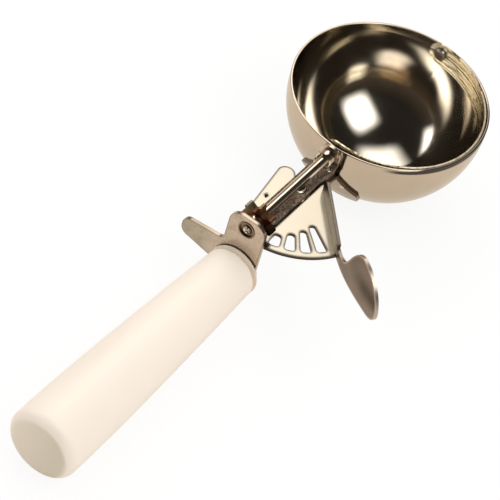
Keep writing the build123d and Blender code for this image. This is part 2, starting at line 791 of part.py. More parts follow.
with BuildPart() as scraper_blade:
    with Locations((bowl_x, 0, rod_height)):
        Sphere(blade_outer)
        Sphere(blade_inner, mode=Mode.SUBTRACT)
    add(blade_band.part, mode=Mode.INTERSECT)
    with BuildSketch(Plane.YZ.offset(bowl_x)):
        with Locations((0, rod_height)):
            Circle(spigot_radius)
    extrude(amount=-bowl_radius, mode=Mode.SUBTRACT)
    with BuildSketch(Plane.YZ.offset(bowl_x)):
        with Locations((0, rod_height)):
            Circle(stud_radius + eye_play)
    extrude(amount=bowl_radius, mode=Mode.SUBTRACT)
save(scraper_blade.part, "scraper_blade")
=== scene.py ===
import json
import math
import bpy
from mathutils import Matrix, Vector


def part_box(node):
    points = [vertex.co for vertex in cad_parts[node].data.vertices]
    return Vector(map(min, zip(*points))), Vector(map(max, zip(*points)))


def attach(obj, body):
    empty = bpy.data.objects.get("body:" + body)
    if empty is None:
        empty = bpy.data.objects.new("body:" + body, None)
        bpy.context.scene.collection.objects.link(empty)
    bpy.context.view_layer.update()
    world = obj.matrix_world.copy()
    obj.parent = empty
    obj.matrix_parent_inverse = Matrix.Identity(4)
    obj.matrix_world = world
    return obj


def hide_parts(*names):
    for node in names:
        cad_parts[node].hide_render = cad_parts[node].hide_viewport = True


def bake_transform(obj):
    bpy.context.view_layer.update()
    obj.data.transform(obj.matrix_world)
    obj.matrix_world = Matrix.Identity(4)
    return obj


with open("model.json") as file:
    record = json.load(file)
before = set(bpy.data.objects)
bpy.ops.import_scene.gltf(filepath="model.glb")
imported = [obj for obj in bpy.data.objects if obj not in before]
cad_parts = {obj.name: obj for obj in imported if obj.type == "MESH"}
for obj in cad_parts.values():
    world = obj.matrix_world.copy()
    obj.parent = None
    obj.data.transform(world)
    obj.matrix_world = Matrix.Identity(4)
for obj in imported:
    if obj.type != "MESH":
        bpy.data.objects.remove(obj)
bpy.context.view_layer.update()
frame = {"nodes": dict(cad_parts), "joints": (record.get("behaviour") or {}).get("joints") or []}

print("scoop: frame loaded,", len(frame["nodes"]), "pieces")


# ---- shader and geometry helpers

def colour(red, green, blue):
    return (red, green, blue, 1.0)


class Wire:
    # a node socket that does sums the way numbers do
    def __init__(self, nodes, socket):
        self.nodes = nodes
        self.socket = socket

    def sum(self, operation, first, second):
        return self.nodes.node("ShaderNodeMath", {"operation": operation}, {0: first, 1: second})

    def __add__(self, other):
        return self.sum("ADD", self, other)

    def __sub__(self, other):
        return self.sum("SUBTRACT", self, other)

    def __rsub__(self, other):
        return self.sum("SUBTRACT", other, self)

    def __mul__(self, other):
        return self.sum("MULTIPLY", self, other)

    def __abs__(self):
        return self.sum("ABSOLUTE", self, 0.0)

    __radd__ = __add__
    __rmul__ = __mul__


class Wiring:
    # a node tree, and the one way to add a node to it
    def __init__(self, tree):
        self.tree = tree

    def node(self, kind, settings=None, inputs=None, output=0):
        made = self.tree.nodes.new(kind)
        for key, value in (settings or {}).items():
            if key == "stops":
                ramp = made.color_ramp
                while len(ramp.elements) < len(value):
                    ramp.elements.new(0.5)
                for element, (position, tone) in zip(ramp.elements, value):
                    element.position = position
                    element.color = colour(*tone)
            else:
                setattr(made, key, value)
        for key, value in (inputs or {}).items():
            if isinstance(value, Wire):
                self.tree.links.new(value.socket, made.inputs[key])
            else:
                made.inputs[key].default_value = value
        return Wire(self, made.outputs[output])

    def feed(self, wire, target):
        self.tree.links.new(wire.socket, target)

    def outputs(self, kind):
        # every output of a node, as a dictionary of wires
        made = self.node(kind).socket.node
        return {socket.name: Wire(self, socket) for socket in made.outputs}

    def fit(self, wire, low, high, toLow=0.0, toHigh=1.0, soft=False):
        return self.node("ShaderNodeMapRange",
                         {"clamp": True, "interpolation_type": "SMOOTHSTEP" if soft else "LINEAR"},
                         {"Value": wire, "From Min": low, "From Max": high,
                          "To Min": toLow, "To Max": toHigh})

    def mix(self, factor, first, second, blend="MIX"):
        return self.node("ShaderNodeMix", {"data_type": "RGBA", "blend_type": blend},
                         {0: factor, 6: first, 7: second}, 2)

    def ramp(self, wire, stops):
        return self.node("ShaderNodeValToRGB", {"stops": stops}, {"Fac": wire})

    def stripes(self, wire, scale, detail):
        # noise that changes along one measure only
        return self.node("ShaderNodeTexNoise", {"noise_dimensions": "1D"},
                         {"W": wire, "Scale": scale, "Detail": detail}, "Fac")

    def axes(self, vector):
        parts = self.node("ShaderNodeSeparateXYZ", inputs={"Vector": vector})
        return [Wire(self, socket) for socket in parts.socket.node.outputs]

    def vectors(self, operation, first, second=(0, 0, 0), output="Vector"):
        return self.node("ShaderNodeVectorMath", {"operation": operation},
                         {0: first, 1: second}, output)

    def dot(self, vector, direction):
        return self.vectors("DOT_PRODUCT", vector, tuple(direction), "Value")

    def length(self, vector):
        return self.vectors("LENGTH", vector, output="Value")


class Finish(Wiring):
    # one procedural material, with a Principled shader at its end
    def __init__(self, name, **constants):
        self.material = bpy.data.materials.new(name)
        self.material.use_nodes = True
        super().__init__(self.material.node_tree)
        self.shader = self.tree.nodes["Principled BSDF"]
        for socket, value in constants.items():
            self.shader.inputs[socket].default_value = value
        self.place = self.node("ShaderNodeTexCoord", output="Object")

    def drive(self, socket, wire):
        self.feed(wire, self.shader.inputs[socket])

    def along(self, centre=(0, 0, 0), turn=(0, 0, 0), stretch=(1, 1, 1)):
        # object coordinates, moved, turned and stretched
        return self.node("ShaderNodeMapping", {"vector_type": "TEXTURE"},
                         {"Vector": self.place, "Location": centre, "Rotation": turn,
                          "Scale": stretch})

    def noise(self, scale, vector=None, detail=3.0, roughness=0.55):
        return self.node("ShaderNodeTexNoise", {"noise_dimensions": "3D"},
                         {"Vector": vector or self.place, "Scale": scale, "Detail": detail,
                          "Roughness": roughness}, "Fac")

    def facing(self):
        # the surface's own direction, in object coordinates
        return self.node("ShaderNodeTexCoord", output="Normal")

    def nearEdge(self, width):
        # 1 along the sheared edges of a sheet, 0 on its open faces
        clear = self.node("ShaderNodeAmbientOcclusion",
                          {"inside": True, "only_local": True, "samples": edgeLook["samples"]},
                          {"Distance": width}, "AO")
        return self.fit(clear, *edgeLook["clear"], 1.0, 0.0)

    def bump(self, height, strength, distance):
        return self.node("ShaderNodeBump", inputs={"Height": height, "Strength": strength,
                                                   "Distance": distance})


class Recipe(Wiring):
    # a geometry node tree with named sizes, grown into a plain mesh
    def __init__(self, name, sizes):
        super().__init__(bpy.data.node_groups.new(name, "GeometryNodeTree"))
        face = self.tree.interface
        face.new_socket(name="Geometry", in_out="INPUT", socket_type="NodeSocketGeometry")
        self.sizes = {}
        for label, value in sizes.items():
            kind = "NodeSocketInt" if isinstance(value, int) else "NodeSocketFloat"
            socket = face.new_socket(name=label, in_out="INPUT", socket_type=kind)
            self.sizes[socket.identifier] = value
        face.new_socket(name="Geometry", in_out="OUTPUT", socket_type="NodeSocketGeometry")
        self.entry = self.tree.nodes.new("NodeGroupInput")

    def given(self, label):
        # one of the named sizes, or the geometry that the tree starts from
        return Wire(self, self.entry.outputs[label])

    def grow(self, name, start, shape, finish, place=Matrix.Identity(4)):
        whole = self.node("GeometryNodeRealizeInstances", inputs={"Geometry": shape})
        whole = self.node("GeometryNodeSetMaterial", inputs={"Geometry": whole,
                                                             "Material": finish.material})
        self.feed(whole, self.tree.nodes.new("NodeGroupOutput").inputs["Geometry"])
        seed = bpy.data.objects.new(name + "Seed", start)
        bpy.context.scene.collection.objects.link(seed)
        modifier = seed.modifiers.new(name, "NODES")
        modifier.node_group = self.tree
        for identifier, value in self.sizes.items():
            modifier[identifier] = value
        ready = seed.evaluated_get(bpy.context.evaluated_depsgraph_get())
        mesh = bpy.data.meshes.new_from_object(ready)
        mesh.transform(place)
        bpy.data.objects.remove(seed)
        for facet in mesh.polygons:
            facet.use_smooth = True
        piece = bpy.data.objects.new(name, mesh)
        bpy.context.scene.collection.objects.link(piece)
        return piece


def put(finish, *names):
    # CAD nodes keep their mesh, only the material in their slots changes
    for name in names:
        mesh = frame["nodes"][name].data
        mesh.materials.clear()
        mesh.materials.append(finish.material)


def heading(azimuth, elevation):
    # the direction at these two angles in degrees
    azimuth, elevation = math.radians(azimuth), math.radians(elevation)
    return Vector((math.cos(elevation) * math.cos(azimuth),
                   math.cos(elevation) * math.sin(azimuth), math.sin(elevation)))


# ---- what the frame says about the object's main sizes

bowlLow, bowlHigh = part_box("bowl")
gripLow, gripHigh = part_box("handle_grip")
springLow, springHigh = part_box("return_spring")
bowlRadius = (bowlHigh.x - bowlLow.x) / 2
bowlCentre = Vector(((bowlHigh.x + bowlLow.x) / 2, 0, bowlLow.z + bowlRadius))
rimHeight = bowlHigh.z
buttRadius = gripHigh.z
pivotPoint = Vector([j["pos_m"] for j in frame["joints"] if j["name"] == "lever_swing"][0])


# ---- camera

view = {"place": (-0.55234292, -0.28223355, 0.79021268),
        "right": (0.57372615, -0.79239353, 0.20724577),
        "up": (0.52619206, 0.55049956, 0.64812973),
        "lens": 216.0, "sensor": 36.0, "farthest": 50.0}

lookRight = Vector(view["right"]).normalized()
lookUp = Vector(view["up"]).normalized()
lookBack = lookRight.cross(lookUp)
cameraData = bpy.data.cameras.new("camera")
cameraData.lens = view["lens"]
cameraData.sensor_width = view["sensor"]
cameraData.clip_end = view["farthest"]
camera = bpy.data.objects.new("camera", cameraData)
bpy.context.scene.collection.objects.link(camera)
lookTurn = Matrix((lookRight, lookUp, lookBack)).transposed().to_4x4()
camera.matrix_world = Matrix.Translation(view["place"]) @ lookTurn
bpy.context.scene.camera = camera
print("scoop: camera placed")


# ---- steel finishes

# pairs are the low and high value of a mask, and fours also say what the mask runs between
edgeLook = {"samples": 8, "clear": (0.66, 0.95)}
steelLook = {"haze": (0.35, 0.68), "uneven": (0.3, 0.7), "dirtFiner": 3.1, "dirt": (0.52, 0.72),
             "edgeShare": 0.8, "scratches": 900.0, "scratched": (0.45, 0.75),
             "scratchRough": 0.12, "scratchBump": 0.25, "scratchDepth": 0.00005}


def steel(name, tone, shade, rough, brushTurn=(0, 0, 0), brushStretch=(1, 1, 1), brush=0.0,
          grime=0.0, grimeTone=(0.2, 0.15, 0.11), cloud=90.0, metallic=1.0, edge=None, tint=None):
    # polished or brushed steel: uneven tint, wiping haze, fine scratches along one direction,
    # sheared edges in another tone where edge gives (tone, width), partly the cut edge's own
    # tone and partly painted shade along the edge, and a last change of colour where tint gives
    # one
    finish = Finish(name, Metallic=metallic)
    haze = finish.noise(cloud, detail=4.0)
    base = finish.mix(finish.fit(haze, *steelLook["haze"]), colour(*shade), colour(*tone))
    if grime:
        dirt = finish.noise(cloud * steelLook["dirtFiner"], detail=6.0, roughness=0.7)
        base = finish.mix(finish.fit(dirt, *steelLook["dirt"], 0.0, grime), base,
                          colour(*grimeTone))
    if edge:
        base = finish.mix(finish.nearEdge(edge[1]) * steelLook["edgeShare"], base,
                          colour(*edge[0]))
    if tint:
        base = tint(finish, base)
    finish.drive("Base Color", base)
    lines = finish.noise(steelLook["scratches"],
                         finish.along(turn=brushTurn, stretch=brushStretch), detail=2.0)
    finish.drive("Roughness", finish.fit(haze, *steelLook["uneven"], *rough)
                 + finish.fit(lines, *steelLook["scratched"], 0.0,
                              brush * steelLook["scratchRough"]))
    if brush:
        finish.drive("Normal", finish.bump(lines, brush * steelLook["scratchBump"],
                                           steelLook["scratchDepth"]))
    return finish


# ---- bowl, saddle, blade and studs

bowlLook = {"inside": (0.76, 0.70, 0.60), "insideShade": (0.68, 0.62, 0.53),
            "outside": (0.64, 0.55, 0.435), "outsideShade": (0.47, 0.405, 0.325),
            "cloud": 70.0, "insideHaze": (0.35, 0.65), "outsideHaze": (0.3, 0.6, 0.7, 1.0),
            "shadeFoot": 0.85, "skin": 0.0006, "rough": (0.3, 0.7, 0.07, 0.12),
            "spinLines": 2600.0, "spinRough": (0.5, 0.8, 0.0, 0.02), "spinDepth": 0.0004,
            "ripples": 850.0, "rippleDepth": 0.012, "rippleFoot": 0.014, "rippleTop": 0.004,
            "bump": 0.6, "bumpDepth": 0.001,
            "line": (0.020, 0.011, 0.005), "lineSide": -98, "lineEnds": (0.60, 0.74),
            "lineTop": 0.0007, "lineTopFade": 0.0002, "lineFoot": 0.0018, "lineFootFade": 0.0005,
            "climb": 0.0011, "climbAlong": (0.8, 0.6), "climbFrom": -0.008, "climbTo": 0.006,
            "lineShare": 0.97, "lineRough": 0.35, "lineDull": 0.8}

bowlFinish = Finish("polishedBowl", Metallic=1.0)
centred = bowlFinish.along(centre=tuple(bowlCentre))
acrossX, acrossY, high = bowlFinish.axes(centred)
rimAbove = rimHeight - bowlCentre.z
spin = bowlFinish.stripes(high, bowlLook["spinLines"], 2.0)
haze = bowlFinish.noise(bowlLook["cloud"], detail=4.0)
isOutside = bowlFinish.fit(bowlFinish.length(centred), bowlRadius - bowlLook["skin"],
                           bowlRadius - bowlLook["skin"] / 2)
insideTone = bowlFinish.mix(bowlFinish.fit(haze, *bowlLook["insideHaze"]),
                            colour(*bowlLook["insideShade"]), colour(*bowlLook["inside"]))
# painted shade: the outside is darker towards its bottom, standing in for the shadowed floor that
# it reflects there, and uneven with the haze
outsideTone = bowlFinish.mix(bowlFinish.fit(high, -bowlRadius * bowlLook["shadeFoot"], 0.0)
                             * bowlFinish.fit(haze, *bowlLook["outsideHaze"]),
                             colour(*bowlLook["outsideShade"]), colour(*bowlLook["outside"]))
# a painted dark reflection: a dark line under the rim, which climbs onto the rim's edge to the
# right, standing in for the dark that the rim's lip reflects; there it is also made duller and
# rougher
nearSide = bowlFinish.fit(bowlFinish.dot(centred, heading(bowlLook["lineSide"], 0)),
                          bowlRadius * bowlLook["lineEnds"][0],
                          bowlRadius * bowlLook["lineEnds"][1], soft=True)
climb = bowlFinish.fit(acrossX * bowlLook["climbAlong"][0] - acrossY * bowlLook["climbAlong"][1],
                       bowlLook["climbFrom"], bowlLook["climbTo"]) * bowlLook["climb"]
lineTopZ = rimAbove - bowlLook["lineTop"]
lineFootZ = rimAbove - bowlLook["lineFoot"]
paintedRimReflection = (bowlFinish.fit(high, lineFootZ - bowlLook["lineFootFade"], lineFootZ, soft=True)
            * bowlFinish.fit(high - climb, lineTopZ, lineTopZ + bowlLook["lineTopFade"], 1.0, 0.0)
            * isOutside * nearSide)
bowlTone = bowlFinish.mix(isOutside, insideTone, outsideTone)
bowlFinish.drive("Base Color", bowlFinish.mix(paintedRimReflection * bowlLook["lineShare"], bowlTone,
                                              colour(*bowlLook["line"])))
bowlFinish.drive("Metallic", 1.0 - paintedRimReflection * bowlLook["lineDull"])
bowlFinish.drive("Roughness", bowlFinish.fit(haze, *bowlLook["rough"])
                 + bowlFinish.fit(spin, *bowlLook["spinRough"])
                 + paintedRimReflection * bowlLook["lineRough"])
# the inner wall ripples a little near the rim, which breaks up what it reflects
ripples = bowlFinish.stripes(high, bowlLook["ripples"], 1.0)
nearRim = bowlFinish.fit(high, rimAbove - bowlLook["rippleFoot"], rimAbove - bowlLook["rippleTop"])
relief = (spin * bowlLook["spinDepth"]
          + ripples * nearRim * (1.0 - isOutside) * bowlLook["rippleDepth"])
bowlFinish.drive("Normal", bowlFinish.bump(relief, bowlLook["bump"], bowlLook["bumpDepth"]))
put(bowlFinish, "bowl")

# painted shadow: the saddle's edges are near black, a painted shadow in the groove where they meet
# the bowl, over the cut edge's own tone
saddleFinish = steel("saddleSteel", (0.50, 0.42, 0.33), (0.36, 0.29, 0.22), (0.18, 0.34),
                     brushTurn=(0, math.radians(90), 0), brushStretch=(0.08, 1, 1), brush=0.5,
                     grime=0.6, edge=((0.07, 0.05, 0.035), 0.0009))
put(saddleFinish, "bowl_saddle")

# the blade rubs along the bowl: dark streaks, gold scuffs and bright metal run along it
bladeLook = {"stops": [(0.38, (0.10, 0.072, 0.045)), (0.43, (0.66, 0.53, 0.30)),
                       (0.48, (0.97, 0.92, 0.74))],
             "streaks": 1600.0, "streakShare": 0.55, "scuffs": 420.0, "scuffShare": 0.45,
             "rough": (0.3, 0.7, 0.10, 0.24), "bump": 0.5, "bumpDepth": 0.00035}
bladeFinish = Finish("bladeSteel", Metallic=1.0)
streak = bladeFinish.stripes(bladeFinish.axes(bladeFinish.place)[2], bladeLook["streaks"], 2.0)
scuff = bladeFinish.noise(bladeLook["scuffs"], bladeFinish.along(stretch=(1, 1, 0.6)), detail=4.0)
rubbed = streak * bladeLook["streakShare"] + scuff * bladeLook["scuffShare"]
bladeFinish.drive("Base Color", bladeFinish.ramp(rubbed, bladeLook["stops"]))
bladeFinish.drive("Roughness", bladeFinish.fit(scuff, *bladeLook["rough"]))
bladeFinish.drive("Normal", bladeFinish.bump(rubbed, bladeLook["bump"], bladeLook["bumpDepth"]))
put(bladeFinish, "scraper_blade")

rivetFinish = steel("rivetHeads", (0.80, 0.74, 0.66), (0.66, 0.60, 0.52), (0.14, 0.26))
put(rivetFinish, "far_pivot_stud", "pivot_rivet", "strap_rivets", "handle_tang", "pivot_washers")
print("scoop: bowl finished")


# ---- plate, straps and bearings

restLook = {"shade": (0.74, 0.80, 0.76), "reach": (0.011, 0.016)}


def duller(finish, base):
    # the finger rest, out to the left, is duller than the rest of its plate
    outOnRest = finish.fit(finish.axes(finish.place)[1], *restLook["reach"])
    return finish.mix(outOnRest, base, colour(*restLook["shade"]), "MULTIPLY")


plateFinish = steel("plateSteel", (0.68, 0.575, 0.475), (0.56, 0.47, 0.38), (0.20, 0.32),
                    brushStretch=(1, 0.06, 1), brush=0.6, grime=0.4,
                    edge=((0.34, 0.27, 0.21), 0.0006), tint=duller)
put(plateFinish, "bearing_plate", "handle_spacer")

washerFinish = steel("washerSteel", (0.90, 0.82, 0.71), (0.84, 0.76, 0.65), (0.35, 0.50),
                     metallic=0.15)
put(washerFinish, "handle_washer")

strapLook = {"brown": (0.42, 0.315, 0.225), "dark": (0.17, 0.12, 0.085),
             "speck": (0.04, 0.025, 0.017), "lug": (0.78, 0.70, 0.61),
             "lugHeight": (0.0188, 0.0202), "clouds": 260.0, "cloudy": (0.42, 0.62),
             "specks": 1100.0, "speckled": (0.47, 0.58, 0.0, 0.9), "metallic": (0.45, 1.0),
             "rough": (0.3, 0.7, 0.42, 0.60), "lugPolish": 0.26, "bump": 0.4,
             "bumpDepth": 0.00015}
strapFinish = Finish("strapSteel", Metallic=1.0)
cloud = strapFinish.noise(strapLook["clouds"], strapFinish.along(stretch=(2.0, 1, 1)), detail=5.0)
speck = strapFinish.noise(strapLook["specks"], detail=3.0, roughness=0.7)
brown = strapFinish.mix(strapFinish.fit(cloud, *strapLook["cloudy"]), colour(*strapLook["dark"]),
                        colour(*strapLook["brown"]))
brown = strapFinish.mix(strapFinish.fit(speck, *strapLook["speckled"]), brown,
                        colour(*strapLook["speck"]))
onLug = strapFinish.fit(strapFinish.axes(strapFinish.place)[2], *strapLook["lugHeight"], soft=True)
strapFinish.drive("Base Color", strapFinish.mix(onLug, brown, colour(*strapLook["lug"])))
strapFinish.drive("Metallic", strapFinish.fit(onLug, 0.0, 1.0, *strapLook["metallic"]))
strapFinish.drive("Roughness", strapFinish.fit(cloud, *strapLook["rough"])
                  - onLug * strapLook["lugPolish"])
strapFinish.drive("Normal", strapFinish.bump(speck, strapLook["bump"], strapLook["bumpDepth"]))
put(strapFinish, "upper_strap", "strap_packer")

shankFinish = steel("shankSteel", (0.40, 0.32, 0.25), (0.28, 0.22, 0.17), (0.28, 0.42),
                    brushStretch=(0.06, 1, 1), brush=0.5, grime=0.7)
put(shankFinish, "shank_strap")

bushFinish = steel("bushSteel", (0.38, 0.28, 0.20), (0.20, 0.135, 0.09), (0.24, 0.40), grime=0.9,
                   grimeTone=(0.05, 0.03, 0.02), cloud=300.0)
put(bushFinish, "rear_bush", "near_bush")


# ---- rod, pinion and pins

# the rod is polished, apart from grease on its end face at the rear
rodLook = {"tone": (0.80, 0.74, 0.64), "grease": (0.10, 0.06, 0.035), "greaseEnd": 0.0015,
           "greaseFade": 1.4, "blots": 700.0, "blotted": (0.42, 0.56), "cloud": 120.0,
           "rough": (0.3, 0.7, 0.10, 0.20), "greaseRough": 0.2, "bump": 0.1}
rodFinish = Finish("rodSteel", Metallic=1.0)
haze = rodFinish.noise(rodLook["cloud"], detail=4.0)
lines = rodFinish.noise(steelLook["scratches"], rodFinish.along(stretch=(1, 0.05, 0.05)),
                        detail=2.0)
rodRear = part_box("scraper_rod")[0].x
greasy = rodFinish.fit(rodFinish.axes(rodFinish.place)[0], rodRear + rodLook["greaseEnd"],
                       rodRear + rodLook["greaseEnd"] * rodLook["greaseFade"], 1.0, 0.0)
greasy = greasy * rodFinish.fit(rodFinish.noise(rodLook["blots"]), *rodLook["blotted"])
rodFinish.drive("Base Color", rodFinish.mix(greasy, colour(*rodLook["tone"]),
                                            colour(*rodLook["grease"])))
rodFinish.drive("Roughness", rodFinish.fit(haze, *rodLook["rough"])
                + greasy * rodLook["greaseRough"])
rodFinish.drive("Normal", rodFinish.bump(lines, rodLook["bump"], steelLook["scratchDepth"]))
put(rodFinish, "scraper_rod", "rod_collar", "collar_pin", "pinion_pin")

# the pinion is copper, with painted shade dark on one side and a painted highlight, pale and
# greenish, on its upper tooth, moved about by clouds
pinionLook = {"stops": [(0.15, (0.055, 0.028, 0.018)), (0.50, (0.25, 0.12, 0.07)),
                        (0.80, (0.32, 0.18, 0.10)), (0.92, (0.30, 0.29, 0.20))],
              "across": (0, 0.75, 0.66), "clouds": 420.0, "cloudShare": 0.35,
              "rough": (0.3, 0.7, 0.28, 0.46), "bump": 0.2, "bumpDepth": 0.00008}
pinionLow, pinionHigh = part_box("pinion")
pinionFinish = Finish("pinionBrass", Metallic=1.0)
pinionRadius = (pinionHigh.z - pinionLow.z) / 2
fromRod = pinionFinish.along(centre=(0, 0, (pinionHigh.z + pinionLow.z) / 2))
across = pinionFinish.dot(fromRod, Vector(pinionLook["across"]).normalized())
cloud = pinionFinish.noise(pinionLook["clouds"], detail=5.0)
shadeToHighlight = (pinionFinish.fit(across, -pinionRadius, pinionRadius)
          + (cloud - 0.5) * pinionLook["cloudShare"])
pinionFinish.drive("Base Color", pinionFinish.ramp(shadeToHighlight, pinionLook["stops"]))
pinionFinish.drive("Roughness", pinionFinish.fit(cloud, *pinionLook["rough"]))
pinionFinish.drive("Normal", pinionFinish.bump(cloud, pinionLook["bump"],
                                               pinionLook["bumpDepth"]))
put(pinionFinish, "pinion")


# ---- lever: a sector painted bright where it faces up, a brushed flange and a darker thumb pad

leverLook = {"face": (0.575, 0.55, 0.47), "faceShade": (0.53, 0.49, 0.40),
             "flange": (0.50, 0.42, 0.33), "cut": (0.07, 0.058, 0.045),
             "pad": (0.30, 0.24, 0.195), "padHollowShade": (0.085, 0.066, 0.045),
             "padRimHighlight": (0.66, 0.59, 0.51), "padReach": (0.0315, 0.037), "padFaces": 150,
             "padFacing": (0.0, 0.4), "padRough": 0.10, "hollowHeight": 0.0248,
             "hollowWide": 0.0058, "hollowReach": (0.042, 0.056), "hollowShare": 0.9,
             "padCloud": 0.5, "level": (0.45, 0.8), "sectorTop": 0.01545, "cutFade": 0.0003,
             "edgeWidth": 0.0011, "edgeShare": 0.92, "brushTurn": 46, "cloud": 90.0,
             "rough": (0.3, 0.7, 0.14, 0.24), "scratchRough": 0.04, "uprightRough": 0.12,
             "bump": 0.1}

leverFinish = Finish("leverSteel", Metallic=1.0)
haze = leverFinish.noise(leverLook["cloud"], detail=4.0)
brushed = leverFinish.along(turn=(0, 0, math.radians(leverLook["brushTurn"])),
                            stretch=(1, 0.06, 1))
lines = leverFinish.noise(steelLook["scratches"], brushed, detail=2.0)
facing = leverFinish.facing()
level = leverFinish.fit(abs(leverFinish.axes(facing)[2]), *leverLook["level"])
fromPivot = leverFinish.along(centre=(pivotPoint.x, pivotPoint.y, 0))
height = leverFinish.axes(fromPivot)[2]
away = leverFinish.length(leverFinish.vectors("MULTIPLY", fromPivot, (1, 1, 0)))
isPad = leverFinish.fit(away, *leverLook["padReach"], soft=True)
notPad = 1.0 - isPad
face = leverFinish.mix(leverFinish.fit(haze, *steelLook["haze"]), colour(*leverLook["faceShade"]),
                       colour(*leverLook["face"]))
# painted shade: the pad is painted dark in its hollow, where a dished face would be in shade, and
# stays paler along its crown
padFacing = leverFinish.dot(facing, heading(leverLook["padFaces"], 0))
paintedHollowShade = (leverFinish.fit(abs(height - leverLook["hollowHeight"]), 0.0, leverLook["hollowWide"],
                          1.0, 0.0, soft=True)
          * leverFinish.fit(away, *leverLook["hollowReach"])
          * leverFinish.fit(padFacing, *leverLook["padFacing"]))
padTone = leverFinish.mix(paintedHollowShade * leverLook["hollowShare"] + (haze - 0.5) * leverLook["padCloud"],
                          colour(*leverLook["pad"]), colour(*leverLook["padHollowShade"]))
# the faces that stand upright: the cut edge of the sector below, the flange and the pad above; the
# cut edge is near black, partly its own tone and partly a painted dark reflection
isCut = leverFinish.fit(height, leverLook["sectorTop"],
                        leverLook["sectorTop"] + leverLook["cutFade"], 1.0, 0.0)
upright = leverFinish.mix(isPad, colour(*leverLook["flange"]), padTone)
upright = leverFinish.mix(isCut * notPad, upright, colour(*leverLook["cut"]))
# faces that look up take the bright face tone and upright ones the flange tone: the flange's own
# brushed tone, with painted light making the up-facing faces lighter
leverTone = leverFinish.mix(level * notPad, upright, face)
# along the edges: the sector's edges are painted dark, partly the cut edge's own tone and partly
# painted shade, and the pad's edge is pale, a painted highlight
rim = leverFinish.mix(isPad, colour(*leverLook["cut"]), colour(*leverLook["padRimHighlight"]))
outline = leverFinish.nearEdge(leverLook["edgeWidth"]) * leverLook["edgeShare"]
leverFinish.drive("Base Color", leverFinish.mix(outline, leverTone, rim))
leverFinish.drive("Roughness", leverFinish.fit(haze, *leverLook["rough"])
                  + (1.0 - level) * leverLook["uprightRough"]
                  + leverFinish.fit(lines, *steelLook["scratched"], 0.0, leverLook["scratchRough"])
                  + isPad * leverLook["padRough"])
leverFinish.drive("Normal", leverFinish.bump(lines, leverLook["bump"], steelLook["scratchDepth"]))
put(leverFinish, "thumb_lever")
print("scoop: steel finished")


# ---- handle

handleLook = {"cream": (0.94, 0.86, 0.765), "shade": (0.925, 0.835, 0.74), "mottles": 38.0,
              "mottled": (0.3, 0.7), "grain": 1400.0, "grainRough": (0.4, 0.6, 0.0, 0.04),
              "paintedButtShade": (0.66, 0.60, 0.475), "shadedSide": (-1.0, 0.15, -0.45),
              "shadedFacing": (0.70, 0.96), "shadedAcross": (-0.006, 0.011, 1.0, 0.45),
              "rough": (0.34, 0.46), "bump": 0.08, "bumpDepth": 0.00002}

gripFinish = Finish("creamHandle", IOR=1.5)
mottle = gripFinish.noise(handleLook["mottles"], gripFinish.along(stretch=(2.4, 1, 1)), detail=3.0)
grain = gripFinish.noise(handleLook["grain"], detail=2.0)
creamTone = gripFinish.mix(gripFinish.fit(mottle, *handleLook["mottled"]),
                           colour(*handleLook["shade"]), colour(*handleLook["cream"]))
# painted shade: the butt's flat and the edge under it are painted darker where they face away from
# the lamps, and less so on the left
shadedSide = Vector(handleLook["shadedSide"]).normalized()
paintedButtShade = gripFinish.fit(gripFinish.dot(gripFinish.facing(), shadedSide),
                        *handleLook["shadedFacing"], soft=True)
paintedButtShade = paintedButtShade * gripFinish.fit(gripFinish.axes(gripFinish.place)[1],
                                 *handleLook["shadedAcross"])
gripFinish.drive("Base Color", gripFinish.mix(paintedButtShade, creamTone, colour(*handleLook["paintedButtShade"])))
gripFinish.drive("Roughness", gripFinish.fit(mottle, *handleLook["mottled"], *handleLook["rough"])
                 + gripFinish.fit(grain, *handleLook["grainRough"]))
gripFinish.drive("Normal", gripFinish.bump(grain, handleLook["bump"], handleLook["bumpDepth"]))
put(gripFinish, "handle_grip")
print("scoop: handle finished")


# ---- return spring: a coil round the pivot, a leg on the strap and a leg hooked in the sector

springLook = {"wire": 0.0005, "coil": 0.0036, "pitch": 0.0012, "turns": 3, "hookReach": 0.012,
              "hookAngle": 145.0, "anchorReach": 0.015, "bend": 0.0011, "bendPoints": 6,
              "strapGap": 0.0003, "wireSides": 12, "coilPoints": 40}
springFinish = steel("springWire", (0.42, 0.39, 0.36), (0.30, 0.27, 0.24), (0.24, 0.40),
                     cloud=400.0)
# each leg leaves the coil along a tangent, which sets the angles that the coil runs between
hookAngle = math.radians(springLook["hookAngle"])
topAngle = hookAngle + math.acos(springLook["coil"] / springLook["hookReach"])
startAngle = math.pi - math.acos(springLook["coil"] / springLook["anchorReach"])
sweep = springLook["turns"] + ((startAngle - topAngle) / (2 * math.pi)) % 1.0
coilFoot = springLow.z + springLook["wire"]
coilTop = coilFoot + sweep * springLook["pitch"]
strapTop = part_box("shank_strap")[1].z


def aroundPivot(angle, radius, z):
    return Vector((pivotPoint.x + radius * math.cos(angle), radius * math.sin(angle), z))


def wireAlong(recipe, curve):
    # a round wire along a curve, closed at both ends
    ring = recipe.node("GeometryNodeCurvePrimitiveCircle",
                       inputs={"Resolution": springLook["wireSides"],
                               "Radius": recipe.given("Wire Radius")})
    return recipe.node("GeometryNodeCurveToMesh",
                       inputs={"Curve": curve, "Profile Curve": ring, "Fill Caps": True})


def wireLeg(name, points):
    # a leg of the spring: straight runs with a tight bend between them
    start = bpy.data.curves.new(name, "CURVE")
    start.dimensions = "3D"
    spline = start.splines.new("POLY")
    spline.points.add(len(points) - 1)
    for knot, point in zip(spline.points, points):
        knot.co = (*point, 1.0)
    recipe = Recipe(name, {"Wire Radius": springLook["wire"], "Bend Radius": springLook["bend"]})
    bent = recipe.node("GeometryNodeFilletCurve", {"mode": "POLY"},
                       {"Curve": recipe.given("Geometry"), "Count": springLook["bendPoints"],
                        "Radius": recipe.given("Bend Radius")})
    return recipe.grow(name, start, wireAlong(recipe, bent), springFinish)


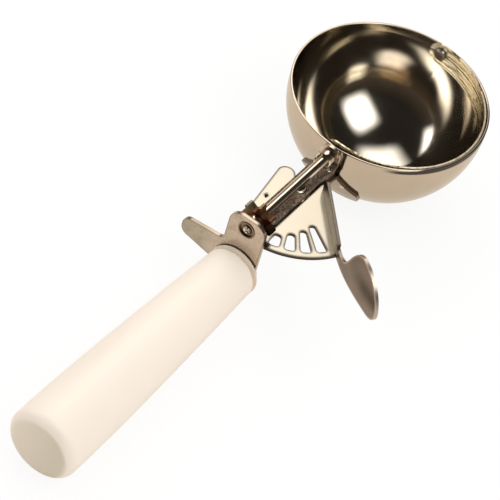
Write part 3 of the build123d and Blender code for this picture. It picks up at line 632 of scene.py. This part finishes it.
coilRecipe = Recipe("springCoil", {"Wire Radius": springLook["wire"],
                                   "Coil Radius": springLook["coil"],
                                   "Coil Height": coilTop - coilFoot, "Turns": sweep})
helix = coilRecipe.node("GeometryNodeCurveSpiral", inputs={
    "Resolution": springLook["coilPoints"], "Rotations": coilRecipe.given("Turns"),
    "Start Radius": coilRecipe.given("Coil Radius"), "End Radius": coilRecipe.given("Coil Radius"),
    "Height": coilRecipe.given("Coil Height"), "Reverse": True})
springCoil = coilRecipe.grow("springCoil", bpy.data.meshes.new("springCoilSeed"),
                             wireAlong(coilRecipe, helix), springFinish,
                             Matrix.Translation((pivotPoint.x, 0, coilFoot))
                             @ Matrix.Rotation(startAngle, 4, "Z"))
springAnchor = wireLeg("springAnchorLeg", [
    aroundPivot(startAngle, springLook["coil"], coilFoot),
    aroundPivot(math.pi, springLook["anchorReach"], coilFoot),
    aroundPivot(math.pi, springLook["anchorReach"], strapTop - springLook["strapGap"])])
springHook = wireLeg("springHookLeg", [
    aroundPivot(topAngle, springLook["coil"], coilTop),
    aroundPivot(hookAngle, springLook["hookReach"], coilTop),
    aroundPivot(hookAngle, springLook["hookReach"], springHigh.z)])
for piece in (springCoil, springAnchor, springHook):
    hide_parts("return_spring")
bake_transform(springCoil)
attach(springAnchor, "frame")
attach(springHook, "lever")
print("scoop: spring wound")


# ---- spot welds that hold the saddle to the bowl

# each place is how far a weld lies to one side of the bowl's centre and above it, in metres
weldLook = {"radius": 0.0009, "height": 0.00022, "shell": 0.0012, "sides": 24, "rings": 10,
            "places": [(0.0072, -0.0146), (-0.0072, -0.0146), (0.0060, -0.0245),
                       (-0.0060, -0.0245)]}
saddleRadius = bowlRadius + weldLook["shell"]
weldPoints = [bowlCentre + Vector((-math.sqrt(saddleRadius ** 2 - side ** 2 - above ** 2),
                                   side, above)) for side, above in weldLook["places"]]
weldSeed = bpy.data.meshes.new("weldSeed")
weldSeed.from_pydata(weldPoints, [], [])
welds = Recipe("saddleWelds", {"Radius": weldLook["radius"], "Height": weldLook["height"],
                               "Centre X": bowlCentre.x, "Centre Z": bowlCentre.z})
dome = welds.node("GeometryNodeMeshUVSphere", inputs={
    "Segments": weldLook["sides"], "Rings": weldLook["rings"], "Radius": 1.0})
centre = welds.node("ShaderNodeCombineXYZ", inputs={"X": welds.given("Centre X"),
                                                    "Z": welds.given("Centre Z")})
outwards = welds.vectors("SUBTRACT", welds.node("GeometryNodeInputPosition"), centre)
leaning = welds.node("FunctionNodeAlignRotationToVector", {"axis": "Z"}, {"Vector": outwards})
flat = welds.node("ShaderNodeCombineXYZ", inputs={"X": welds.given("Radius"),
                                                  "Y": welds.given("Radius"),
                                                  "Z": welds.given("Height")})
dotted = welds.node("GeometryNodeInstanceOnPoints", inputs={
    "Points": welds.given("Geometry"), "Instance": dome, "Rotation": leaning, "Scale": flat})
saddleWelds = welds.grow("saddleWelds", weldSeed, dotted, rivetFinish)
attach(saddleWelds, "frame")
print("scoop: saddle welded")


# ---- floor, lights and room

stageLook = {"reach": 6.0, "gap": 0.0014, "rough": 0.9, "white": 1.0, "shadow": 0.12,
             "warm": (0.86, 0.78, 0.69), "pale": (0.95, 0.90, 0.85)}

# the scoop rests on its bowl and on the edge of its butt, so the floor leans a little
butt = Vector((gripLow.x, 0, 0))
span = math.hypot(bowlCentre.x - butt.x, bowlCentre.z - butt.z)
lean = math.atan2(bowlCentre.z - butt.z, bowlCentre.x - butt.x) - math.asin(
    (bowlRadius - buttRadius) / span)
floorUp = Vector((-math.sin(lean), 0, math.cos(lean)))
floorPoint = bowlCentre - floorUp * (bowlRadius + stageLook["gap"])
floorSide = Vector((math.cos(lean), 0, math.sin(lean))) * stageLook["reach"]
floorWide = Vector((0, stageLook["reach"], 0))
floorMesh = bpy.data.meshes.new("floor")
floorMesh.from_pydata([floorPoint - floorSide - floorWide, floorPoint + floorSide - floorWide,
                       floorPoint + floorSide + floorWide, floorPoint - floorSide + floorWide],
                      [], [(0, 1, 2, 3)])
floor = bpy.data.objects.new("floor", floorMesh)
bpy.context.scene.collection.objects.link(floor)

# the floor is white to look at, apart from its shadow, and warm or pale where it lights the scoop
floorFinish = Finish("floorPaper", Roughness=stageLook["rough"])
rays = floorFinish.outputs("ShaderNodeLightPath")
seen = rays["Is Camera Ray"]
mirrored = rays["Is Glossy Ray"] + rays["Is Transmission Ray"]
paper = floorFinish.mix(rays["Is Diffuse Ray"], colour(*stageLook["warm"]),
                        colour(*stageLook["pale"]))
paper = floorFinish.mix(seen, paper, colour(1, 1, 1))
floorFinish.drive("Base Color", paper)
glow = floorFinish.node("ShaderNodeEmission", inputs={"Color": paper,
                                                      "Strength": stageLook["white"]})
blend = floorFinish.node("ShaderNodeMixShader", inputs={
    0: floorFinish.fit(seen + mirrored, 0.0, 1.0, 0.0, 1.0 - stageLook["shadow"]),
    1: Wire(floorFinish, floorFinish.shader.outputs[0]), 2: glow})
floorFinish.feed(blend, floorFinish.tree.nodes["Material Output"].inputs["Surface"])
floorMesh.materials.append(floorFinish.material)

# each softbox is bright in its middle and fades over feather, a share of its width, at its edges
softboxes = {
    "softboxRight": {"azimuth": -102, "elevation": 57, "size": (0.72, 0.84), "power": 4.0,
                     "feather": 0.40},
    "softboxFar": {"azimuth": 44, "elevation": 56, "size": (0.88, 0.84), "power": 1.9,
                   "feather": 0.34},
    "softboxLeft": {"azimuth": 106, "elevation": 27, "size": (0.64, 0.42), "power": 3.0,
                    "feather": 0.34},
}
lampLook = {"stand": 0.85, "tone": (1.0, 0.985, 0.955)}
for name, box in softboxes.items():
    lampData = bpy.data.lights.new(name, "AREA")
    lampData.shape = "RECTANGLE"
    lampData.size, lampData.size_y = box["size"]
    lampData.energy = box["power"] * math.pi * box["size"][0] * box["size"][1]
    lampData.color = lampLook["tone"]
    lampData.use_nodes = True
    wiring = Wiring(lampData.node_tree)
    sides = wiring.axes(wiring.node("ShaderNodeNewGeometry", output="Parametric"))
    fade = 1.0
    for side in sides[:2]:
        fade = fade * wiring.fit(abs(side - 0.5), 0.5 - box["feather"], 0.5, 1.0, 0.0, soft=True)
    wiring.feed(fade, lampData.node_tree.nodes["Emission"].inputs["Strength"])
    lamp = bpy.data.objects.new(name, lampData)
    bpy.context.scene.collection.objects.link(lamp)
    outward = heading(box["azimuth"], box["elevation"])
    lamp.rotation_euler = outward.to_track_quat("Z", "Y").to_euler()
    lamp.location = bowlCentre + outward * lampLook["stand"]

# the room: a dark brown ceiling, a warm patch low down, and an even fill that only matt things see
roomLook = {"stops": [(0.10, (0.11, 0.082, 0.055)), (0.62, (0.022, 0.019, 0.016))],
            "patchAt": (28, 24), "patchEdge": (0.84, 0.96), "patch": (0.42, 0.28, 0.17),
            "fill": (0.635, 0.617, 0.60)}
world = bpy.data.worlds.new("room")
world.use_nodes = True
bpy.context.scene.world = world
room = Wiring(world.node_tree)
direction = room.node("ShaderNodeTexCoord", output="Generated")
tone = room.ramp(room.axes(direction)[2], roomLook["stops"])
patch = room.fit(room.dot(direction, heading(*roomLook["patchAt"])), *roomLook["patchEdge"],
                 soft=True)
tone = room.mix(patch, tone, colour(*roomLook["patch"]))
rays = room.outputs("ShaderNodeLightPath")
tone = room.mix(rays["Is Diffuse Ray"], tone, colour(*roomLook["fill"]))
tone = room.mix(rays["Is Camera Ray"], tone, colour(1, 1, 1))
room.feed(tone, world.node_tree.nodes["Background"].inputs["Color"])

bpy.context.scene.view_settings.view_transform = "Standard"
print("scoop: stage lit")
